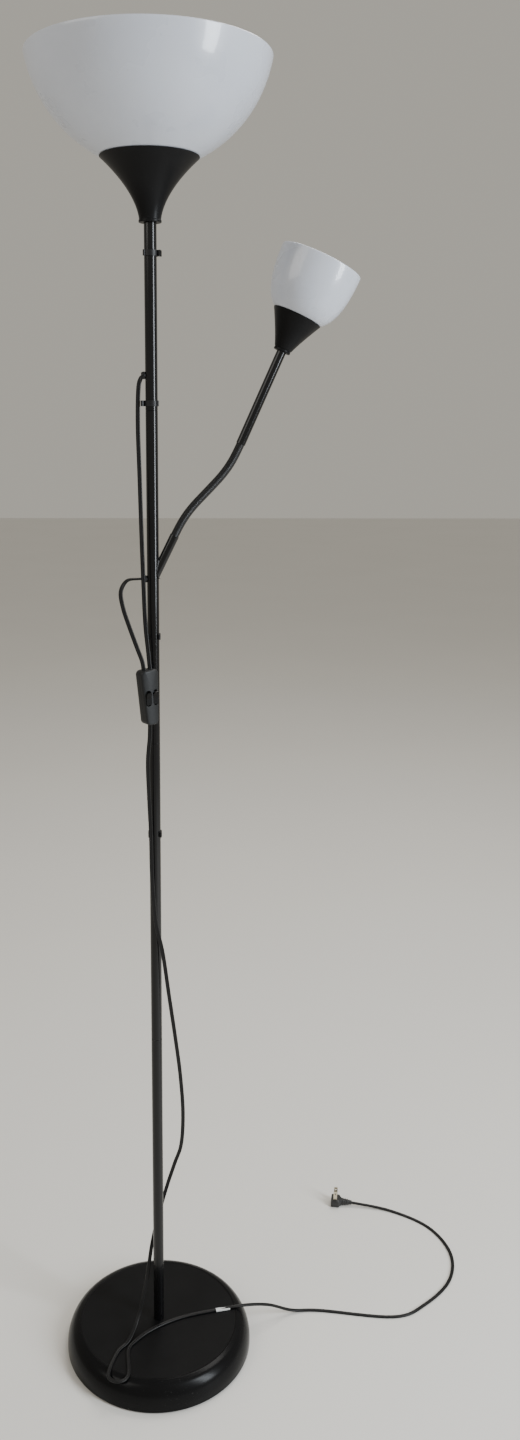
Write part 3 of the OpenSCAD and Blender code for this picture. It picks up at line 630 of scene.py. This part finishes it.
# ---- Inline switch ----
# Two moulded half shells screwed together on the lead, tapered towards the bottom. Two rockers,
# one for each lamp, stand in upright pockets in the crowned front.

rocker_joints = [joints["main_rocker_press"], joints["reading_rocker_press"]]
switch_across = Vector(rocker_joints[0]["axis"]).normalized()
switch_back_way = Vector((0, 0, 1)).cross(switch_across).normalized()
switch_up = switch_across.cross(switch_back_way)
rocker_y = -5.4 * MM
rocker_middle = (Vector(rocker_joints[0]["pos_m"]) + Vector(rocker_joints[1]["pos_m"])) / 2
switch_place = Matrix.Translation(rocker_middle - switch_back_way * rocker_y)
switch_place = switch_place @ Matrix((switch_across, switch_back_way, switch_up)).transposed().to_4x4()
switch_h = 74 * MM
switch_d = 18 * MM
switch_top_w = 27 * MM
switch_taper = 4 * MM
switch_corner = 6 * MM
front_r = 32 * MM

eroded = Finish("switch_black", IOR=1.48, Specular_IOR_Level=0.3)
eroded_tone = eroded.noise(0.01, 4)
eroded.paint(Base_Color=eroded.mix(eroded_tone, (0.009, 0.01, 0.011), (0.014, 0.015, 0.016)),
             Roughness=0.42 + 0.1 * eroded_tone)
eroded.relief(eroded.grains(0.35 * MM), 0.03 * MM, 0.8)


def switch_outline(inset):
    """The switch's outline seen from the front, as (across, up) points."""
    r = switch_corner - inset
    top_x = switch_top_w / 2 - switch_corner
    low_x = top_x - switch_taper
    end_z = switch_h / 2 - switch_corner
    return (arc((low_x, -end_z), r, r, -90, 0, 8) + arc((top_x, end_z), r, r, 0, 90, 8)
            + arc((-top_x, end_z), r, r, 90, 180, 8) + arc((-low_x, -end_z), r, r, 180, 270, 8))


def front_y(x):
    return front_r - switch_d / 2 - sqrt(front_r ** 2 - x ** 2)


def half_shell(name, node_name, facing, edge_r):
    """A half shell as a closed block: a parting line, its wall, a rounded edge and its face."""
    def depth(x, back):
        return front_y(x) + back if facing < 0 else switch_d / 2 - back

    rows = [[(x, 0, z) for x, z in switch_outline(0.3 * MM)],
            [(x, facing * 0.3 * MM, z) for x, z in switch_outline(0)]]
    for i in range(7):
        a = i / 6 * pi / 2
        inset = edge_r * (1 - cos(a))
        back = edge_r * (1 - sin(a))
        rows.append([(x, depth(x, back), z) for x, z in switch_outline(inset)])
    last = rows[-1]
    for share in (0.94, 0.86, 0.78, 0.7, 0.62, 0.54, 0.46, 0.38, 0.3, 0.22, 0.14, 0.06):
        rows.append([(x * share, depth(x * share, 0), z * (0.35 + 0.65 * share)) for x, _, z in last])
    around = len(last)
    points = [switch_place @ Vector(p) for row in rows for p in row]
    faces = []
    for i in range(len(rows) - 1):
        for k in range(around):
            a, b = i * around + k, i * around + (k + 1) % around
            quad = (a, b, b + around, a + around)
            faces.append(quad[::-1] if facing > 0 else quad)
    ends = [tuple(range(around)), tuple((len(rows) - 1) * around + k for k in range(around))]
    faces.append(ends[0] if facing > 0 else ends[0][::-1])
    faces.append(ends[1][::-1] if facing > 0 else ends[1])
    piece = mesh_object(name, points, faces, eroded, 35)
    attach(piece, "stand")
    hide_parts(node_name)
    return piece


def prism(outline, y0, y1, place):
    """A closed block with that (across, up) outline between two depths, as points and faces."""
    count = len(outline)
    points = [place @ Vector((x, y, z)) for y in (y0, y1) for x, z in outline]
    faces = [(k + count, (k + 1) % count + count, (k + 1) % count, k) for k in range(count)]
    faces.append(tuple(range(count)))
    faces.append(tuple(2 * count - 1 - k for k in range(count)))
    return points, faces


def carve(piece, solids):
    """Cuts closed blocks out of a piece."""
    for number, (points, faces) in enumerate(solids):
        cutter = mesh_object(f"{piece.name}_cutter_{number}", points, faces, eroded)
        cut = piece.modifiers.new("pocket", "BOOLEAN")
        cut.operation = "DIFFERENCE"
        cut.solver = "EXACT"
        cut.object = cutter
        bpy.context.view_layer.update()
        depsgraph = bpy.context.evaluated_depsgraph_get()
        carved = bpy.data.meshes.new_from_object(piece.evaluated_get(depsgraph))
        piece.modifiers.clear()
        piece.data = carved
        bpy.data.objects.remove(cutter)
    piece.data.shade_smooth()
    piece.data.set_sharp_from_angle(angle=radians(35))


rocker_x = 5.5 * MM
pocket_half_w = 4.2 * MM
pocket_half_l = 10.67 * MM
pocket_ends = pocket_half_l - pocket_half_w


def pocket(x):
    """The block that a rocker's round-ended pocket is cut with."""
    outline = (arc((x, pocket_ends), pocket_half_w, pocket_half_w, 0, 180, 16)
               + arc((x, -pocket_ends), pocket_half_w, pocket_half_w, 180, 360, 16))
    return prism(outline, -14 * MM, -2.4 * MM, switch_place)


front_shell = half_shell("switch_front_shell", "switch_front", -1, 2.2 * MM)
carve(front_shell, [pocket(-rocker_x), pocket(rocker_x)])
screw_hole_r = 2.8 * MM
screw_heights = (22 * MM, -21 * MM)
screw_circles = [arc((0, z), screw_hole_r, screw_hole_r, 0, 345, 23) for z in screw_heights]
back_shell = half_shell("switch_back_shell", "switch_back", 1, 2.8 * MM)
carve(back_shell, [prism(circle, 7.2 * MM, 12 * MM, switch_place) for circle in screw_circles])

rocker_black = Finish("rocker_black", IOR=1.5, Specular_IOR_Level=0.12)
rocker_tone = rocker_black.noise(0.006, 4)
rocker_black.paint(Base_Color=rocker_black.mix(rocker_tone, (0.002, 0.002, 0.002), (0.004, 0.004, 0.004)),
                   Roughness=0.3 + 0.12 * rocker_tone)
rocker_black.relief(rocker_black.noise(0.4 * MM, 2), 0.02 * MM, 0.5)
dress(rocker_black, "rocker_plastic", "rocker_main", "rocker_reading")
soften("rocker_main", 0.35 * MM)
soften("rocker_reading", 0.35 * MM)


# ---- Leads ----
# Flat two-core vinyl lead. One length goes from the switch to each lamp's bushing, and one from
# the switch down the pole, round on the base and over the floor to its plug.

vinyl = Finish("lead_vinyl", IOR=1.5, Specular_IOR_Level=0.25)
vinyl_tone = vinyl.noise(0.008, 4)
vinyl.paint(Base_Color=vinyl.mix(vinyl_tone, (0.004, 0.004, 0.0045), (0.008, 0.008, 0.0085)),
            Roughness=0.3 + 0.14 * vinyl_tone)
vinyl.relief(vinyl.noise(0.5 * MM, 3), 0.03 * MM, 0.5)

core_r = 1.4 * MM
lead_section = (arc((core_r, 0), core_r, core_r, -128, 128, 10)
                + arc((-core_r, 0), core_r, core_r, 52, 308, 10))

main_lead = [
    (-9, 0, 1438), (-13.5, -0.5, 1434), (-16.5, -1.5, 1420), (-17.5, -3, 1376), (-16, -6, 1314),
    (-14.5, -12, 1250), (-12.5, -14, 1180), (-10.5, -15, 1125), (-7, -20, 1088), (-4.5, -24, 1059),
]
reading_lead = [
    (-9, 0, 1182), (-20, -1, 1182), (-34, -4, 1180), (-42, -8, 1166), (-39, -13, 1145),
    (-31, -19, 1121), (-21, -25.5, 1094), (-14.5, -29, 1076), (-12.5, -30, 1058),
]
mains_lead = [
    (-5.4, -25, 1002), (-6, -25, 975), (-8.8, -22, 938), (-7.5, -16, 882), (-5.6, -13.5, 830),
    (-4.7, -13, 772), (0, -12.5, 704), (9.5, -12, 655), (18, -10, 588), (26.5, -8, 522),
    (33.5, -4, 460), (37.5, 0, 395), (35, 6, 338), (25, 12.5, 300), (13, 15.5, 258),
    (0, 15, 208), (-10, 11, 162), (-19, 1, 104), (-31, -18, 60), (-45, -47, 43.6),
    (-62, -68, 41.7), (-74, -109, 41.7), (-60, -122, 41.7), (-45, -110.5, 41.7), (-46, -66, 41.7),
    (-34, -46, 41.7), (-6, -23, 41.7), (35, -4, 41.7), (82, 7, 41.7), (131, 15.5, 41.7),
    (172, 29, 29), (212, 42, 5.6), (258, 43, 1.9), (372, 24, 1.6), (427, 47, 1.6),
    (480, 98, 1.6), (498, 162, 1.6), (475, 228, 1.6), (416, 274, 2.4), (349, 293.2, 7),
]


def smooth_route(route, steps):
    """A smooth line through the route's points, in metres."""
    spots = [Vector(p) * MM for p in route]
    line = []
    for i in range(len(spots) - 1):
        a, b = spots[max(i - 1, 0)], spots[i]
        c, d = spots[i + 1], spots[min(i + 2, len(spots) - 1)]
        for k in range(steps):
            t = k / steps
            line.append(0.5 * (2 * b + (c - a) * t + (2 * a - 5 * b + 4 * c - d) * t * t
                               + (3 * b - a - 3 * c + d) * t ** 3))
    return line + [spots[-1]]


def lead(name, node_name, route):
    """The flat lead: its face looks forwards where it hangs and upwards where it lies."""
    line = smooth_route(route, 8)
    count = len(line)
    ways = [(line[min(i + 1, count - 1)] - line[max(i - 1, 0)]).normalized() for i in range(count)]
    normals = []
    for way in ways:
        flat = way.x ** 2 + way.y ** 2
        wish = Vector((0, -1, 0)) * (1 - flat) ** 2 + Vector((0, 0, 1)) * flat
        normals.append((wish - way * wish.dot(way)).normalized())
    for _ in range(24):
        eased = [(normals[max(i - 1, 0)] + normals[i] * 2 + normals[min(i + 1, count - 1)])
                 for i in range(count)]
        normals = [(n - w * n.dot(w)).normalized() for n, w in zip(eased, ways)]
    points = []
    for spot, way, normal in zip(line, ways, normals):
        across = way.cross(normal)
        points += [spot + across * u + normal * v for u, v in lead_section]
    around = len(lead_section)
    faces = []
    for i in range(count - 1):
        for k in range(around):
            a, b = i * around + k, i * around + (k + 1) % around
            faces.append((a, b, b + around, a + around))
    faces.append(tuple(range(around - 1, -1, -1)))
    faces.append(tuple((count - 1) * around + k for k in range(around)))
    piece = mesh_object(name, points, faces, vinyl, 60)
    length = sum((b - a).length for a, b in zip(line, line[1:]))
    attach(piece, "stand")
    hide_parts(node_name)


lead("lead_to_main", "cord_main", main_lead)
lead("lead_to_reading", "cord_reading", reading_lead)


# ---- Tag ----
# A blank strip of crumpled silver-white film wrapped once round the lead where it crosses the
# base.

film = Finish("tag_film", IOR=1.45, Coat_Weight=0.4, Coat_Roughness=0.15)
film_tone = film.noise(0.004, 4)
film.paint(Base_Color=film.mix(film_tone, (0.55, 0.56, 0.56), (0.72, 0.73, 0.73)),
           Roughness=0.3 + 0.2 * film_tone)
film.relief(film.noise(0.0025, 3), 0.25 * MM, 0.7)

tag_low, tag_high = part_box("cord_tag")
tag_middle = (tag_low + tag_high) / 2
lead_height = 41.7 * MM
tag_turn = radians(9.5)
tag_place = (Matrix.Translation((tag_middle.x, tag_middle.y, lead_height))
             @ Matrix.Rotation(tag_turn, 4, "Z"))
tag_half_l = 11 * MM
tag_points = []
tag_faces = []
tag_rows = 45
tag_fold_r = 1.75 * MM
tag_outline = (arc((1.7 * MM, 0), tag_fold_r, tag_fold_r, -90, 90, 8)
               + arc((-1.7 * MM, 0), tag_fold_r, tag_fold_r, 90, 270, 8))
for i in range(tag_rows):
    x = -tag_half_l + 2 * tag_half_l * i / (tag_rows - 1)
    for u, v in tag_outline:
        crumple = 1 + 0.05 * sin(x / MM * 2.6 + u / MM) + 0.045 * sin(x / MM * 5.3 - u / MM * 2)
        sag = max(v * crumple, -1.6 * MM)
        tag_points.append(tag_place @ Vector((x, u * crumple, sag)))
tag_around = len(tag_outline)
for i in range(tag_rows - 1):
    for k in range(tag_around):
        a, b = i * tag_around + k, i * tag_around + (k + 1) % tag_around
        tag_faces.append((a, b, b + tag_around, a + tag_around))
tag_faces.append(tuple(range(tag_around - 1, -1, -1)))
tag_faces.append(tuple((tag_rows - 1) * tag_around + k for k in range(tag_around)))
tag = mesh_object("lead_tag", tag_points, tag_faces, film, 25)
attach(tag, "stand")
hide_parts("cord_tag")


# ---- Plug ----
# A flat two-blade plug moulded on the lead: a ribbed strain relief, a neck that widens, and a
# square head. It lies on the floor on its flat back, with its blades upwards.

plug_turn = radians(167)
blades_low, blades_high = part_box("plug_blades")
blades_middle = (blades_low + blades_high) / 2
plug_half_h = 7 * MM
blade_x = 29.5 * MM
plug_around = 40
plug_place = (Matrix.Translation((blades_middle.x, blades_middle.y, plug_half_h))
              @ Matrix.Rotation(plug_turn, 4, "Z") @ Matrix.Translation((-blade_x, 0, 0)))

plug_vinyl = Finish("plug_vinyl", IOR=1.5)
plug_tone = plug_vinyl.noise(0.006, 4)
plug_vinyl.paint(Base_Color=plug_vinyl.mix(plug_tone, (0.011, 0.011, 0.012), (0.019, 0.019, 0.02)),
                 Roughness=0.34 + 0.14 * plug_tone)
plug_vinyl.relief(plug_vinyl.grains(0.4 * MM), 0.02 * MM, 0.6)


def plug_section(x, half_w, half_d, square):
    """One ring of the plug: round when square is 2, and boxier as it grows."""
    ring = []
    for k in range(plug_around):
        a = 2 * pi * k / plug_around
        c, s = cos(a), sin(a)
        reach = (abs(c) ** square + abs(s) ** square) ** (-1 / square)
        ring.append(plug_place @ Vector((x, half_w * reach * c, half_d * reach * s)))
    return ring


plug_rings = [plug_section(0, 2.2 * MM, 2.2 * MM, 2), plug_section(0.1 * MM, 3.3 * MM, 3.3 * MM, 2)]
rib_starts = (6.6 * MM, 10.6 * MM, 14.6 * MM)
for i in range(42):
    x = 0.4 * MM + i * 0.42 * MM
    taper = 3.6 * MM + 1.8 * MM * x / (20 * MM)
    rib = max(min(x - s, s + 2.4 * MM - x) for s in rib_starts)
    rib = 0.75 * MM * min(1, max(0, rib / (0.5 * MM)))
    plug_rings.append(plug_section(x, taper + rib, taper + rib, 2 + x / (20 * MM)))
for i in range(9):
    t = i / 8
    ease = t * t * (3 - 2 * t)
    plug_rings.append(plug_section((18 + 6 * t) * MM, (5.6 + 5.4 * ease) * MM, (5.6 + 1.4 * ease) * MM,
                                   3 + 4 * t))
for x, inset in ((30, 0), (35.2, 0), (36.3, 0.3), (36.8, 0.8), (37, 1.5)):
    plug_rings.append(plug_section(x * MM, (11 - inset) * MM, (7 - inset) * MM, 7))
plug_points = [p for ring in plug_rings for p in ring]
plug_faces = []
for i in range(len(plug_rings) - 1):
    for k in range(plug_around):
        a, b = i * plug_around + k, i * plug_around + (k + 1) % plug_around
        plug_faces.append((a, b, b + plug_around, a + plug_around))
plug_faces.append(tuple(range(plug_around - 1, -1, -1)))
plug_faces.append(tuple((len(plug_rings) - 1) * plug_around + k for k in range(plug_around)))
plug = mesh_object("plug_moulding", plug_points, plug_faces, plug_vinyl, 40)
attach(plug, "stand")
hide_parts("plug_body")

nickel = Finish("blade_nickel", Metallic=1.0)
nickel_tone = nickel.noise(0.003, 4)
nickel_drag = nickel.noise(0.0012, 3, (1, 1, 0.08))
nickel.paint(Base_Color=nickel.mix(nickel_tone, (0.62, 0.56, 0.42), (0.76, 0.71, 0.58)),
             Roughness=0.2 + 0.2 * nickel_drag)
nickel.relief(nickel_drag, 0.02 * MM, 0.5)
dress(nickel, "blade_brass", "plug_blades")
soften("plug_blades", 0.3 * MM)

inner = Finish("inner_wire_vinyl", Roughness=0.45)
inner_tone = inner.noise(0.005, 3)
inner.paint(Base_Color=inner.mix(inner_tone, (0.03, 0.03, 0.03), (0.06, 0.06, 0.06)))
inner.relief(inner_tone, 0.03 * MM, 0.5)
dress(inner, "wire_vinyl", "wire_main", "wire_reading", "wire_head")

lead("lead_to_plug", "cord_mains", mains_lead)
